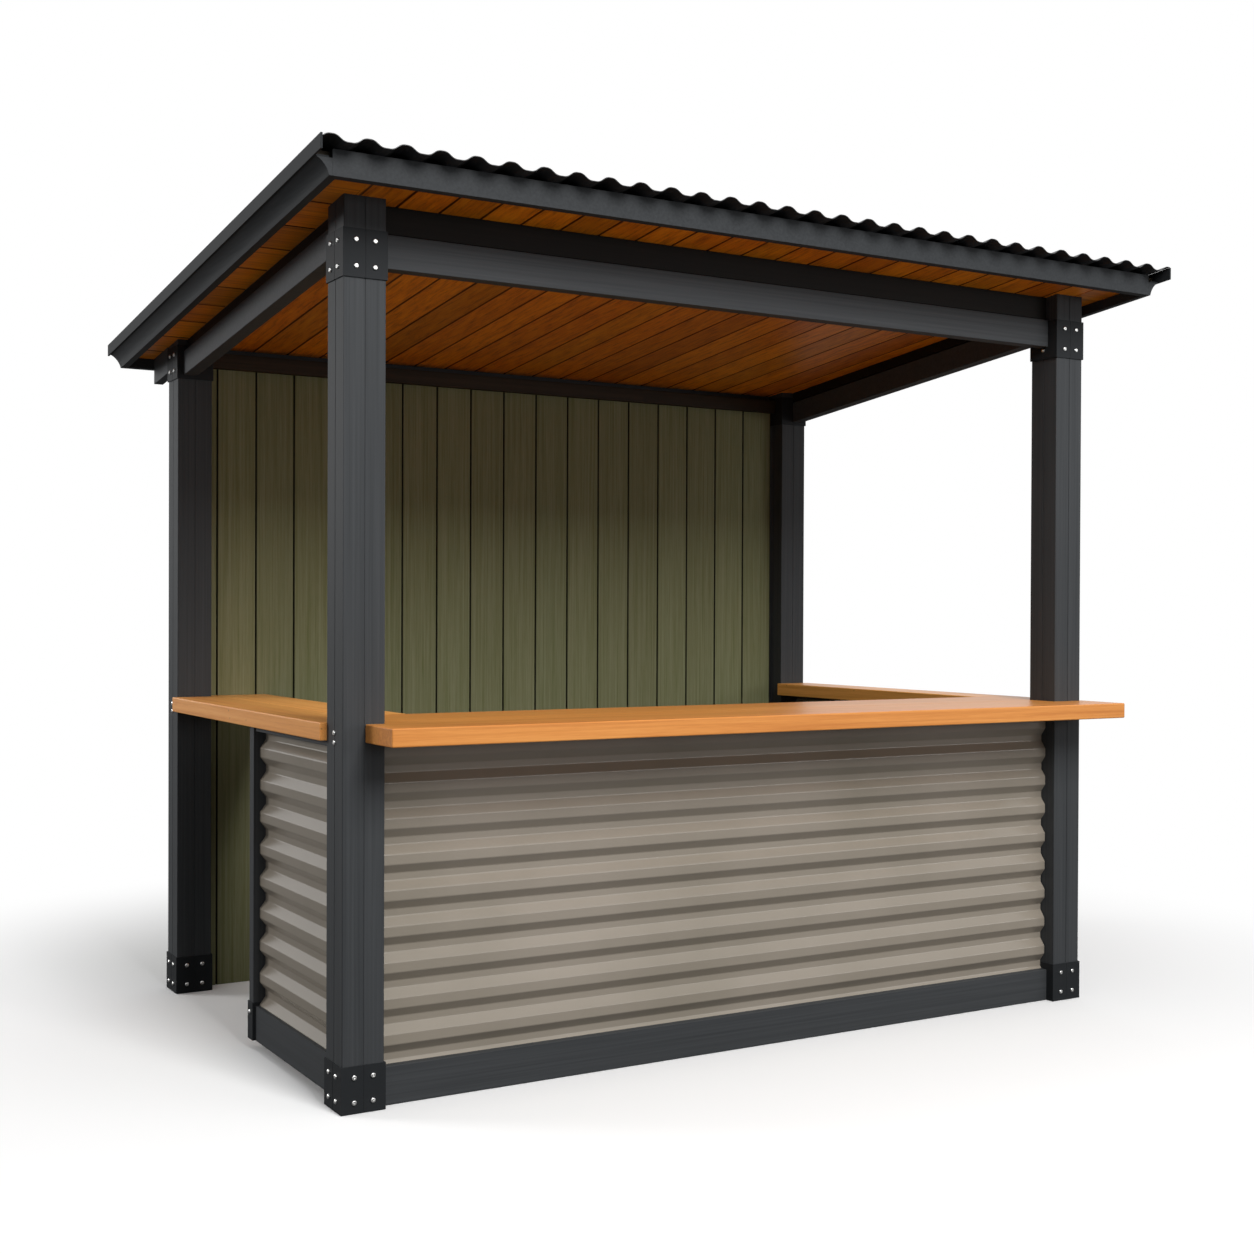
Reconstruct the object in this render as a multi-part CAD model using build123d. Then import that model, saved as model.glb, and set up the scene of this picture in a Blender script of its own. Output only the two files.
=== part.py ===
from build123d import *
import math
import os

# Garden bar: an open four-post frame with a mono-pitch corrugated roof, a boarded back wall,
# corrugated lower panels on three sides and a timber counter on each of those sides.
# All lengths are millimetres. +X runs to the right along the front, +Y to the back, +Z up.
# The origin is on the ground in the middle of the roof's outline.

# Driving sizes of the frame
frame_width = 2874.0        # outside to outside of the posts, along X
frame_depth = 1826.0        # outside to outside of the posts, along Y
post_size = 127.0
post_edge_radius = 3.0
post_groove_width = 3.0
post_groove_depth = 1.5
entrance_post_width = 42.0  # along the side of the bar
entrance_post_depth = 100.0
entrance_width = 861.0      # clear gap between the entrance post and the rear left post

# Driving sizes of the roof
roof_slope_deg = 5.6        # falls from the front to the back
ceiling_height_front = 2590.0  # underside of the ceiling over the front face of the front posts
front_overhang = 213.0      # face of the front fascia beyond the front posts
rear_overhang = 235.0
side_overhang = 122.0       # lower edge of a side fascia beyond the posts
sheet_overhang_front = 55.0  # roof sheet beyond the front fascia
sheet_overhang_rear = 20.0
ceiling_thickness = 18.0
purlin_height = 18.0
purlin_width = 50.0
purlin_count = 3
fascia_thickness = 25.0
fascia_drop = 36.0          # lower edge of a fascia below the ceiling
fascia_lean = 36.0          # how far the top of a side fascia leans outwards
fascia_hollow = 8.0         # how far a side fascia's face curves in from a straight line
fascia_corner = 10.0        # end of the front fascia inside a side fascia's lower edge
flashing_reach = 44.0       # outer face of the side flashing beyond the fascia's lower edge
flashing_height = 42.0
flashing_thickness = 6.0
flashing_return = 5.0
flashing_below_crest = 2.0

# Driving sizes of the corrugated sheets
roof_wave_depth = 17.0
panel_wave_depth = 20.0
wave_pitch_roof = 105.4
wave_pitch_panel = 104.0
roof_crest_flat = 26.0      # flat top of a wave of the roof sheet
roof_trough_flat = 32.0
roof_first_crest = 24.0     # middle of the first crest inside the sheet's left edge
panel_crest_flat = 22.0
panel_trough_flat = 26.0
wave_corner_radius = 12.0
sheet_thickness = 2.0

# Driving sizes of the beams under the roof
front_beam_drop = 188.0     # underside of the front beam below the ceiling at the posts
front_beam_height = 98.0
beam_thickness = 50.0
front_beam_setback = 40.0
header_step = 14.0          # how far a header stands back behind the beam below it
header_thickness = 36.0
header_gap = 4.0            # shadow gap between a beam and the header above it
side_beam_drop = 132.0      # underside of a side beam below the ceiling
side_beam_height = 88.0
side_beam_setback = 20.0
tail_beam_thickness = 34.0
tail_beam_drop = 97.0
tail_beam_end_gap = 12.0    # between the end of a tail beam and the rear fascia
rear_beam_height = 90.0

# Driving sizes of the brackets
bracket_thickness = 4.0
foot_bracket_height = 135.0
front_head_bracket_height = 138.0
rear_head_bracket_height = 123.0
front_bracket_drop = 43.0   # foot of a front head bracket below the front beam
rear_bracket_drop = 13.0    # foot of a rear head bracket below the side beam
entrance_bracket_height = 122.0

# Driving sizes of the counters and the lower walls
counter_height = 1100.0     # top of the counters
counter_thickness = 53.0
front_counter_overhang = 200.0
front_counter_depth = 590.0
counter_side_overhang = 20.0
front_counter_left_inset = 67.0
left_counter_width = 380.0
right_counter_width = 168.0
base_rail_height = 112.0
base_rail_depth = 60.0
front_rail_setback = 28.0   # face of the front base rail behind the face of the posts
side_rail_setback = 6.0
side_rail_lift = 32.0       # side rails and the entrance post hang clear of the ground
counter_rail_height = 16.0
counter_rail_depth = 40.0
panel_setback = 13.0        # crest of a panel behind the face of its base rail
front_panel_first_crest = 33.0  # middle of the lowest crest below the top of the base rail
side_panel_first_crest = 13.0

# Driving sizes of the back wall
wall_thickness = 20.0
wall_setback = 76.0         # front face of the boards behind the front of the rear posts
wall_rail_thickness = 28.0
wall_rail_height = 90.0
wall_rail_centre = 1100.0
wall_trim_height = 57.0
wall_trim_thickness = 30.0
wall_trim_gap = 28.0        # shadow gap between the trim and the ceiling

fit_gap = 0.3               # between a piece and a post or bracket that it fits against
cut_margin = 5.0            # how far a cutting box reaches past the piece it cuts


# Places that follow from the sizes
half_width = frame_width / 2
sheet_front = -front_overhang - sheet_overhang_front
sheet_rear = frame_depth + rear_overhang + sheet_overhang_rear
front_face = -(sheet_front + sheet_rear) / 2
rear_face = front_face + frame_depth
slope = math.tan(math.radians(roof_slope_deg))
bracket_half = half_width + bracket_thickness
bracket_inner = half_width - post_size - bracket_thickness - fit_gap
front_beam_bottom = ceiling_height_front - front_beam_drop
counter_bottom = counter_height - counter_thickness
panel_top = counter_bottom - counter_rail_height
fascia_front_y = front_face - front_overhang
fascia_rear_y = rear_face + rear_overhang
fascia_half = half_width + side_overhang
roof_run = sheet_rear - sheet_front
entrance_y1 = rear_face - post_size - entrance_width
entrance_y0 = entrance_y1 - entrance_post_width
wall_y0 = rear_face - post_size + wall_setback
wall_y1 = wall_y0 + wall_thickness


def ceiling_at(y):
    """Height of the ceiling's underside at y."""
    return ceiling_height_front - slope * (y - front_face)


def box(x0, x1, y0, y1, z0, z1):
    """A box between two corners."""
    return Pos((x0 + x1) / 2, (y0 + y1) / 2, (z0 + z1) / 2) * Box(x1 - x0, y1 - y0, z1 - z0)


def prism_x(points, x0, x1):
    """A side outline in Y and Z, drawn out along X from x0 to x1."""
    face = make_face(Polyline(*[(x0, y, z) for y, z in points], close=True))
    return extrude(face, amount=x1 - x0, dir=(1, 0, 0))


def sloped_box(x0, x1, y0, y1, below_top, below_bottom):
    """A bar along the roof's slope with plumb ends, measured down from the ceiling."""
    return prism_x(
        [
            (y0, ceiling_at(y0) - below_bottom),
            (y1, ceiling_at(y1) - below_bottom),
            (y1, ceiling_at(y1) - below_top),
            (y0, ceiling_at(y0) - below_top),
        ],
        x0,
        x1,
    )


def along_slope(face, y0, y1):
    """An upright outline in X and Z at y0, drawn out down the roof's slope to y1."""
    run = y1 - y0
    length = math.hypot(run, slope * run)
    return extrude(face, amount=length, dir=(0, run / length, -slope * run / length))


def mirrored(part):
    """The same piece on the other side of the bar."""
    return mirror(part, about=Plane.YZ)


def wave_points(count, pitch, depth, crest_flat, trough_flat):
    """Corners of a trapezoidal wave, starting and ending in the middle of a crest."""
    points = [(0.0, depth)]
    for index in range(count):
        start = index * pitch
        points.append((start + crest_flat / 2, depth))
        points.append((start + pitch / 2 - trough_flat / 2, 0.0))
        points.append((start + pitch / 2 + trough_flat / 2, 0.0))
        points.append((start + pitch - crest_flat / 2, depth))
    points.append((count * pitch, depth))
    return points


def offset_points(points, distance):
    """The same broken line moved sideways, with each corner on the corner's bisector."""
    moved = []
    last = len(points) - 1
    for index, point in enumerate(points):
        before = points[max(index - 1, 0)]
        after = points[min(index + 1, last)]
        if index in (0, last):
            moved.append((point[0], point[1] + distance))
            continue
        first = Vector(point[0] - before[0], point[1] - before[1]).normalized()
        second = Vector(after[0] - point[0], after[1] - point[1]).normalized()
        bisector = Vector(-first.Y - second.Y, first.X + second.X).normalized()
        reach = distance / bisector.dot(Vector(-first.Y, first.X))
        moved.append((point[0] + bisector.X * reach, point[1] + bisector.Y * reach))
    return moved


def wave_face(count, pitch, depth, crest_flat, trough_flat, plane):
    """Section of a corrugated sheet whose lowest underside is on the plane's X axis."""
    lower = wave_points(count, pitch, depth, crest_flat, trough_flat)
    upper = offset_points(lower, sheet_thickness)
    inner_radius = wave_corner_radius - sheet_thickness
    upper_radii = []
    lower_radii = []
    for index in range(count):
        upper_radii += [wave_corner_radius, inner_radius, inner_radius, wave_corner_radius]
        lower_radii += [inner_radius, wave_corner_radius, wave_corner_radius, inner_radius]
    upper_line = plane * FilletPolyline(*upper, radius=upper_radii)
    lower_line = plane * FilletPolyline(*lower, radius=lower_radii)
    first_end = Line(lower_line @ 0, upper_line @ 0)
    last_end = Line(lower_line @ 1, upper_line @ 1)
    edges = lower_line.edges() + [last_end] + upper_line.edges() + [first_end]
    return make_face(edges)


def post(x0, y0, top_front, top_rear):
    """A corner post with rounded edges, a sloped top and a groove down each face."""
    x1 = x0 + post_size
    y1 = y0 + post_size
    body = prism_x([(y0, 0), (y1, 0), (y1, top_rear), (y0, top_front)], x0, x1)
    body = fillet(body.edges().filter_by(Axis.Z), post_edge_radius)
    x_mid = (x0 + x1) / 2
    y_mid = (y0 + y1) / 2
    half = post_groove_width / 2
    depth = post_groove_depth
    top = max(top_front, top_rear) + depth
    body -= box(x_mid - half, x_mid + half, y0 - depth, y0 + depth, -depth, top)
    body -= box(x_mid - half, x_mid + half, y1 - depth, y1 + depth, -depth, top)
    body -= box(x0 - depth, x0 + depth, y_mid - half, y_mid + half, -depth, top)
    body -= box(x1 - depth, x1 + depth, y_mid - half, y_mid + half, -depth, top)
    return body


def sleeve(x0, x1, y0, y1, z0, z1):
    """A folded steel sleeve that wraps a post, given the post's own sides."""
    wrap = bracket_thickness
    outer = box(x0 - wrap, x1 + wrap, y0 - wrap, y1 + wrap, z0, z1)
    outer = fillet(outer.edges().filter_by(Axis.Z), post_edge_radius)
    return outer - box(x0, x1, y0, y1, z0 - wrap, z1 + wrap)


def make_posts():
    """The four corner posts and the short post at the entrance."""
    parts = {}
    rear_y = rear_face - post_size
    for side, x0 in (("left", -half_width), ("right", half_width - post_size)):
        parts[f"front_{side}_post"] = post(
            x0, front_face, ceiling_at(front_face), ceiling_at(front_face + post_size)
        )
        parts[f"rear_{side}_post"] = post(x0, rear_y, ceiling_at(rear_y), ceiling_at(rear_face))
    parts["entrance_post"] = box(
        -half_width,
        -half_width + entrance_post_depth,
        entrance_y0,
        entrance_y1,
        side_rail_lift,
        counter_bottom,
    )
    return parts


def make_brackets():
    """Steel sleeves at the foot and the head of each post."""
    parts = {}
    rear_y = rear_face - post_size
    side_beam_end = ceiling_at(rear_y) - side_beam_drop
    front_foot = front_beam_bottom - front_bracket_drop
    rear_foot = side_beam_end - rear_bracket_drop
    places = (
        ("front", front_face, front_foot, front_head_bracket_height),
        ("rear", rear_y, rear_foot, rear_head_bracket_height),
    )
    for side, x0 in (("left", -half_width), ("right", half_width - post_size)):
        for end, y0, head, height in places:
            x1 = x0 + post_size
            y1 = y0 + post_size
            parts[f"{end}_{side}_foot_bracket"] = sleeve(x0, x1, y0, y1, 0, foot_bracket_height)
            parts[f"{end}_{side}_head_bracket"] = sleeve(
                x0, x1, y0, y1, head, head + height
            )
    parts["entrance_foot_bracket"] = sleeve(
        -half_width,
        -half_width + entrance_post_depth,
        entrance_y0,
        entrance_y1,
        side_rail_lift,
        side_rail_lift + entrance_bracket_height,
    )
    return parts


def panel(height, first_crest, plane, length, direction):
    """A corrugated panel that stands on its base rail, its waves running level."""
    count = math.ceil((height + first_crest) / wave_pitch_panel)
    section = wave_face(
        count,
        wave_pitch_panel,
        panel_wave_depth,
        panel_crest_flat,
        panel_trough_flat,
        plane,
    )
    sheet = extrude(section, amount=length, dir=direction)
    bottom = panel_top - height
    return sheet & box(-frame_width, frame_width, -frame_depth, frame_depth, bottom, panel_top)


def make_base():
    """Base rails, the rails under the counters and the corrugated panels between them."""
    rail_y0 = front_face + front_rail_setback
    rail_x1 = half_width - side_rail_setback
    rail_x0 = rail_x1 - base_rail_depth
    side_top = side_rail_lift + base_rail_height
    side_start = front_face + post_size + bracket_thickness + fit_gap
    side_end = rear_face - post_size - bracket_thickness - fit_gap
    left_end = entrance_y0 - bracket_thickness - fit_gap
    parts = {}
    parts["front_base_rail"] = box(
        -bracket_inner, bracket_inner, rail_y0, rail_y0 + base_rail_depth, 0, base_rail_height
    )
    parts["right_base_rail"] = box(
        rail_x0, rail_x1, side_start, side_end, side_rail_lift, side_top
    )
    parts["left_base_rail"] = box(
        -rail_x1, -rail_x0, side_start, left_end, side_rail_lift, side_top
    )

    # Three rails under the counters, one node: they carry the counters over the panels
    top_y1 = rail_y0 + counter_rail_depth
    top_x0 = rail_x1 - counter_rail_depth
    post_y = front_face + post_size
    inner_x = half_width - post_size
    front_rail = box(-inner_x, inner_x, rail_y0, top_y1, panel_top, counter_bottom)
    right_rail = box(top_x0, rail_x1, post_y, rear_face - post_size, panel_top, counter_bottom)
    left_rail = box(-rail_x1, -top_x0, post_y, entrance_y0, panel_top, counter_bottom)
    parts["counter_rails"] = Compound(children=[front_rail, right_rail, left_rail])

    # Panels stand on the base rails and reach up to the rails under the counters
    sheet_depth = panel_wave_depth + sheet_thickness
    upright = Plane(
        origin=(
            -bracket_inner,
            rail_y0 + panel_setback + sheet_depth,
            base_rail_height - front_panel_first_crest,
        ),
        x_dir=(0, 0, 1),
        z_dir=(1, 0, 0),
    )
    parts["front_panel"] = panel(
        panel_top - base_rail_height,
        front_panel_first_crest,
        upright,
        2 * bracket_inner,
        (1, 0, 0),
    )
    for side, sign, end in (("left", -1, left_end), ("right", 1, side_end)):
        upright = Plane(
            origin=(
                sign * (rail_x1 - panel_setback - sheet_depth),
                side_start,
                side_top - side_panel_first_crest,
            ),
            x_dir=(0, 0, 1),
            z_dir=(0, sign, 0),
        )
        parts[f"{side}_panel"] = panel(
            panel_top - side_top,
            side_panel_first_crest,
            upright,
            end - side_start,
            (0, 1, 0),
        )
    return parts


def make_counters():
    """The three timber counters, cut round the posts they meet."""
    post_y = front_face + post_size + fit_gap
    inner_x = half_width - post_size - fit_gap
    outer_x = half_width + counter_side_overhang
    back_y = front_face - front_counter_overhang + front_counter_depth
    cut_top = counter_height + cut_margin
    end_y = rear_face - post_size - fit_gap
    wall_y = rear_face - post_size + wall_setback - fit_gap
    front = box(
        -half_width + front_counter_left_inset,
        outer_x,
        front_face - front_counter_overhang,
        back_y,
        counter_bottom,
        counter_height,
    )
    front -= box(-outer_x, -inner_x, front_face - fit_gap, back_y + cut_margin, 0, cut_top)
    front -= box(
        inner_x,
        half_width + fit_gap,
        front_face - fit_gap,
        post_y,
        0,
        cut_top,
    )
    left_inner = -outer_x + left_counter_width
    left = box(-outer_x, left_inner, post_y, end_y, counter_bottom, counter_height)
    left += box(-inner_x, left_inner, post_y, wall_y, counter_bottom, counter_height)
    left -= box(-inner_x - fit_gap, outer_x, front_face, back_y + fit_gap, 0, cut_top)
    right = box(
        outer_x - right_counter_width,
        outer_x,
        back_y + fit_gap,
        end_y,
        counter_bottom,
        counter_height,
    )
    return {"front_counter": front, "left_counter": left, "right_counter": right}


def make_beams():
    """Beams and headers under the ceiling, and the short beams that carry the rear eave."""
    parts = {}
    beam_y = front_face + front_beam_setback
    header_y = beam_y + header_step
    front_top = front_beam_bottom + front_beam_height
    header_bottom = front_top + header_gap
    inner_x = half_width - post_size
    parts["front_beam"] = box(
        -bracket_inner, bracket_inner, beam_y, beam_y + beam_thickness, front_beam_bottom, front_top
    )
    header_back = header_y + header_thickness
    parts["front_header"] = prism_x(
        [
            (header_y, header_bottom),
            (header_back, header_bottom),
            (header_back, ceiling_at(header_back)),
            (header_y, ceiling_at(header_y)),
        ],
        -inner_x,
        inner_x,
    )
    start = front_face + post_size + bracket_thickness + fit_gap
    end = rear_face - post_size - bracket_thickness - fit_gap
    outer = half_width - side_beam_setback
    beam_top = side_beam_drop - side_beam_height
    right_beam = sloped_box(outer - beam_thickness, outer, start, end, beam_top, side_beam_drop)
    parts["right_beam"] = right_beam
    parts["left_beam"] = mirrored(right_beam)
    header_outer = outer - header_step
    right_header = sloped_box(
        header_outer - header_thickness,
        header_outer,
        front_face + post_size,
        end,
        0,
        beam_top - header_gap,
    )
    parts["side_headers"] = Compound(children=[right_header, mirrored(right_header)])

    # Tail beams run from the rear posts out to the rear fascia
    tail_start = rear_face + bracket_thickness + fit_gap
    tail_end = fascia_rear_y - fascia_thickness - tail_beam_end_gap
    right_tail = sloped_box(
        bracket_half - tail_beam_thickness,
        bracket_half,
        tail_start,
        tail_end,
        0,
        tail_beam_drop,
    )
    parts["tail_beams"] = Compound(children=[right_tail, mirrored(right_tail)])

    # The rear beam lies behind the top of the wall boards
    board_back = wall_y1
    rail_back = board_back + wall_rail_thickness
    parts["rear_beam"] = prism_x(
        [
            (board_back, ceiling_at(board_back) - rear_beam_height),
            (rail_back, ceiling_at(board_back) - rear_beam_height),
            (rail_back, ceiling_at(rail_back)),
            (board_back, ceiling_at(board_back)),
        ],
        -inner_x + fit_gap + bracket_thickness,
        inner_x - fit_gap - bracket_thickness,
    )
    return parts


def make_wall():
    """The boarded back wall with its rails and its trim."""
    inner_x = half_width - post_size - bracket_thickness - fit_gap
    parts = {}
    parts["back_wall"] = prism_x(
        [
            (wall_y0, 0),
            (wall_y1, 0),
            (wall_y1, ceiling_at(wall_y1)),
            (wall_y0, ceiling_at(wall_y0)),
        ],
        -inner_x,
        inner_x,
    )
    trim_y0 = wall_y0 - wall_trim_thickness
    trim_top = ceiling_at(trim_y0) - wall_trim_gap
    parts["wall_trim"] = box(
        -inner_x, inner_x, trim_y0, wall_y0, trim_top - wall_trim_height, trim_top
    )
    rail_back = wall_y1 + wall_rail_thickness
    foot_rail = box(-inner_x, inner_x, wall_y1, rail_back, 0, base_rail_height)
    half = wall_rail_height / 2
    middle_rail = box(
        -inner_x, inner_x, wall_y1, rail_back, wall_rail_centre - half, wall_rail_centre + half
    )
    parts["wall_rails"] = Compound(children=[foot_rail, middle_rail])
    return parts


def make_roof():
    """Ceiling, purlins, corrugated sheet, fascias and side flashings."""
    parts = {}
    front_y = fascia_front_y + fascia_thickness
    rear_y = fascia_rear_y - fascia_thickness
    inner = fascia_half - fascia_thickness
    eave_split = half_width - side_beam_setback - header_step
    top = -ceiling_thickness
    parts["ceiling"] = sloped_box(-eave_split, eave_split, front_y, rear_y, top, 0)
    right_soffit = sloped_box(eave_split, inner, front_y, rear_y, top, 0)
    parts["right_soffit"] = right_soffit
    parts["left_soffit"] = mirrored(right_soffit)

    # Purlins reach to the flashings and carry the sheet to its edges
    flashing_outer = fascia_half + flashing_reach
    sheet_half = flashing_outer - flashing_thickness - fit_gap
    purlins = []
    last = rear_y - purlin_width
    for index in range(purlin_count):
        y0 = front_y + (last - front_y) * index / (purlin_count - 1)
        purlins.append(
            sloped_box(
                -sheet_half, sheet_half, y0, y0 + purlin_width, top - purlin_height, top
            )
        )
    parts["roof_purlins"] = Compound(children=purlins)

    # The sheet lies on the purlins, with its waves running down the slope
    underside = ceiling_thickness + purlin_height
    sheet_y0 = front_face + sheet_front
    sheet_y1 = front_face + sheet_rear
    wave_start = -sheet_half + roof_first_crest - wave_pitch_roof
    count = math.ceil((sheet_half - wave_start) / wave_pitch_roof)
    upright = Plane(
        origin=(wave_start, sheet_y0, ceiling_at(sheet_y0) + underside),
        x_dir=(1, 0, 0),
        z_dir=(0, -1, 0),
    )
    section = wave_face(
        count, wave_pitch_roof, roof_wave_depth, roof_crest_flat, roof_trough_flat, upright
    )
    sheet = along_slope(section, sheet_y0, sheet_y1)
    above = 2 * ceiling_height_front
    parts["roof_sheet"] = sheet & box(
        -sheet_half, sheet_half, -frame_width, frame_width, counter_height, above
    )

    # Side flashings: an upright leg and a return that covers the top of the side fascia
    leg_top = underside + roof_wave_depth + sheet_thickness - flashing_below_crest
    leg_bottom = leg_top - flashing_height
    leg_inner = flashing_outer - flashing_thickness
    z0 = ceiling_at(sheet_y0)
    outline = [
        (flashing_outer, leg_top),
        (leg_inner, leg_top),
        (leg_inner, leg_bottom + flashing_return),
        (fascia_half, leg_bottom + flashing_return),
        (fascia_half, leg_bottom),
        (flashing_outer, leg_bottom),
    ]
    face = make_face(Polyline(*[(x, sheet_y0, z0 + z) for x, z in outline], close=True))
    right_flashing = along_slope(face, sheet_y0, sheet_y1)
    parts["right_flashing"] = right_flashing
    parts["left_flashing"] = mirrored(right_flashing)

    # Side fascias lean outwards and curve in a little
    def leaning_outline(y, x_inner_bottom, x_inner_top):
        z = ceiling_at(y)
        bottom = (fascia_half, y, z - fascia_drop)
        crown = (fascia_half + fascia_lean, y, z + leg_bottom)
        middle_x = fascia_half + fascia_lean / 2 - fascia_hollow
        middle = (middle_x, y, z + (leg_bottom - fascia_drop) / 2)
        curve = ThreePointArc(bottom, middle, crown)
        back = Polyline(
            crown,
            (x_inner_top, y, z + leg_bottom),
            (x_inner_bottom, y, z - fascia_drop),
            bottom,
        )
        return make_face([curve] + back.edges())

    # The front and rear fascias cover the ends of the side ones but for their leaning edge
    between = fascia_half - fascia_corner
    side_face = leaning_outline(fascia_front_y, inner, inner)
    right_fascia = along_slope(side_face, fascia_front_y, fascia_rear_y)
    for y0, y1 in (
        (-frame_width, front_y + fit_gap),
        (rear_y - fit_gap, frame_width),
    ):
        right_fascia -= box(0, between + fit_gap, y0, y1, counter_height, above)
    parts["right_fascia"] = right_fascia
    parts["left_fascia"] = mirrored(right_fascia)

    # Front and rear fascias reach up to the sheet over them
    for name, y0 in (("front_fascia", fascia_front_y), ("rear_fascia", rear_y)):
        parts[name] = sloped_box(
            -between, between, y0, y0 + fascia_thickness, -underside, fascia_drop
        )
    return parts


if __name__ == "__main__":
    os.makedirs("parts", exist_ok=True)
    everything = {}
    everything.update(make_posts())
    everything.update(make_brackets())
    everything.update(make_base())
    everything.update(make_counters())
    everything.update(make_beams())
    everything.update(make_wall())
    everything.update(make_roof())
    for name, solid in everything.items():
        export_step(solid, f"parts/{name}.step")
        size = solid.bounding_box()
        print(name, size.min, size.max)
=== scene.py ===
"""Garden bar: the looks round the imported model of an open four-post bar with a sloping roof."""

import logging
import math
from collections.abc import Callable, Mapping, Sequence
from dataclasses import dataclass, field, replace
from enum import Enum
from typing import Any

import bmesh
import bpy
from mathutils import Matrix, Vector

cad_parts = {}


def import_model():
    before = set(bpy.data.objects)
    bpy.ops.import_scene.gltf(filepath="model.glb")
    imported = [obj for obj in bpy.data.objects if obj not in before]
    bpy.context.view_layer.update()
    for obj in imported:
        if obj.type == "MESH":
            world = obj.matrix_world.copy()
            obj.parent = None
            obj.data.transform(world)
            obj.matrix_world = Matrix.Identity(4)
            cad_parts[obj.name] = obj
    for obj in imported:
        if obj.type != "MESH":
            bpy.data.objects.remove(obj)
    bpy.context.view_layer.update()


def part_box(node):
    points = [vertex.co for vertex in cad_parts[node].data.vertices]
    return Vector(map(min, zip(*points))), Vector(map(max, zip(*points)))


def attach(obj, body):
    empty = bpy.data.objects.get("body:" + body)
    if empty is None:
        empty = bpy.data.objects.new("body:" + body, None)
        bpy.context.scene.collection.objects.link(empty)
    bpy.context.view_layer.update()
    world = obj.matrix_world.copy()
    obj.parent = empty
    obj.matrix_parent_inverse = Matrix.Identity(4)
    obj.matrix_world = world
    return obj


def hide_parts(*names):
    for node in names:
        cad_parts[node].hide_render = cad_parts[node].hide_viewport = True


LOG = logging.getLogger("garden_bar")
MM = 0.001
# Lengths below this count as nothing
TINY = 0.001 * MM
BODY = "root"
ENDS = ("front", "rear")
SIDES = ("left", "right")
QUARTER = math.radians(90.0)
# Edges that turn by less are shaded smooth
SOFT_ANGLE = math.radians(24.0)
# Edges that turn by more are eased
SHARP_ANGLE = math.radians(30.0)
# How squarely a face has to look one way to be picked
FACING = 0.9
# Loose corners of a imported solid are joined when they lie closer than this
WELD_REACH = 0.01 * MM
# Most of a noise lies between these values
NOISE_LOW = 0.3
NOISE_HIGH = 0.7

Colour = tuple[float, float, float, float]
Point = tuple[float, float, float]
Material = bpy.types.Material
Node = bpy.types.Node
Piece = bpy.types.Object
Socket = bpy.types.NodeSocket
Tree = bpy.types.NodeTree
Source = Node | Socket


# Materials


def to_linear(code: str) -> Colour:
    """Turns an sRGB colour into the linear one that Blender's nodes use.

    Args:
        code: the colour as #RRGGBB.

    Returns:
        Linear red, green, blue and an alpha of one.
    """
    channels = [int(code[at : at + 2], 16) / 255 for at in (1, 3, 5)]
    red, green, blue = (
        value / 12.92 if value <= 0.04045 else ((value + 0.055) / 1.055) ** 2.4
        for value in channels
    )
    return (red, green, blue, 1.0)


def add_node(
    tree: Tree, kind: str, inputs: Mapping[Any, Any] | None = None, **settings: Any
) -> Node:
    """Adds one shader node with its settings, its values and its links.

    Args:
        tree: the node tree it joins.
        kind: Blender's name for the node, without ShaderNode before it.
        inputs: values, outputs, or nodes for their first output, by the input's name or number.
        settings: the node's own properties by name.

    Returns:
        The new node.
    """
    node = tree.nodes.new(f"ShaderNode{kind}")
    for name, value in settings.items():
        setattr(node, name, value)
    for key, value in (inputs or {}).items():
        source = value.outputs[0] if isinstance(value, Node) else value
        if isinstance(source, Socket):
            tree.links.new(source, node.inputs[key])
        else:
            node.inputs[key].default_value = source
    return node


def new_tree(name: str) -> tuple[Material, Tree, Socket]:
    """Starts a material on the object's own coordinates.

    Args:
        name: the material's name.

    Returns:
        The material, its tree and the coordinates.
    """
    material = bpy.data.materials.new(name)
    material.use_nodes = True
    tree = material.node_tree
    tree.nodes.clear()
    return material, tree, add_node(tree, "TexCoord").outputs["Object"]


def add_streaks(tree: Tree, coord: Source, scale: Point, values: Mapping[str, float]) -> Node:
    """Adds noise that is drawn out along the grain.

    Args:
        tree: the material's tree.
        coord: the coordinates that it follows.
        scale: how many streaks a metre holds on X, Y and Z.
        values: the noise's own values by name.

    Returns:
        The noise.
    """
    placed = add_node(tree, "Mapping", {"Vector": coord, "Scale": scale})
    return add_node(tree, "TexNoise", {"Vector": placed, "Scale": 1.0, **values})


def add_tone(tree: Tree, noise: Source, dark: str, light: str) -> Socket:
    """Runs from a dark to a light tone over the range where most of a noise lies.

    Args:
        tree: the material's tree.
        noise: what picks the tone.
        dark: the dark tone.
        light: the light tone.

    Returns:
        The colour.
    """
    span = {"Value": noise, "From Min": NOISE_LOW, "From Max": NOISE_HIGH}
    spread = add_node(tree, "MapRange", span)
    tones = {0: spread, 6: to_linear(dark), 7: to_linear(light)}
    return add_node(tree, "Mix", tones, data_type="RGBA").outputs[2]


@dataclass(frozen=True)
class Coat:
    """The outermost skin of a finish: its gloss and its fine relief."""

    specular: float = 0.5
    relief: float = 0.25 * MM
    strength: float = 0.5
    ior: float = 1.45

    def close(self, tree: Tree, colour: Source, rough: Node, height: Node) -> None:
        """Ends a material with its relief, its surface and the output.

        Args:
            tree: the material's tree.
            colour: its colour.
            rough: its roughness.
            height: the pattern that stands proud.
        """
        relief = {"Height": height, "Distance": self.relief, "Strength": self.strength}
        surface = {
            "Base Color": colour,
            "Roughness": rough,
            "Normal": add_node(tree, "Bump", relief),
            "Specular IOR Level": self.specular,
            "IOR": self.ior,
        }
        add_node(tree, "OutputMaterial", {0: add_node(tree, "BsdfPrincipled", surface)})


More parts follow.
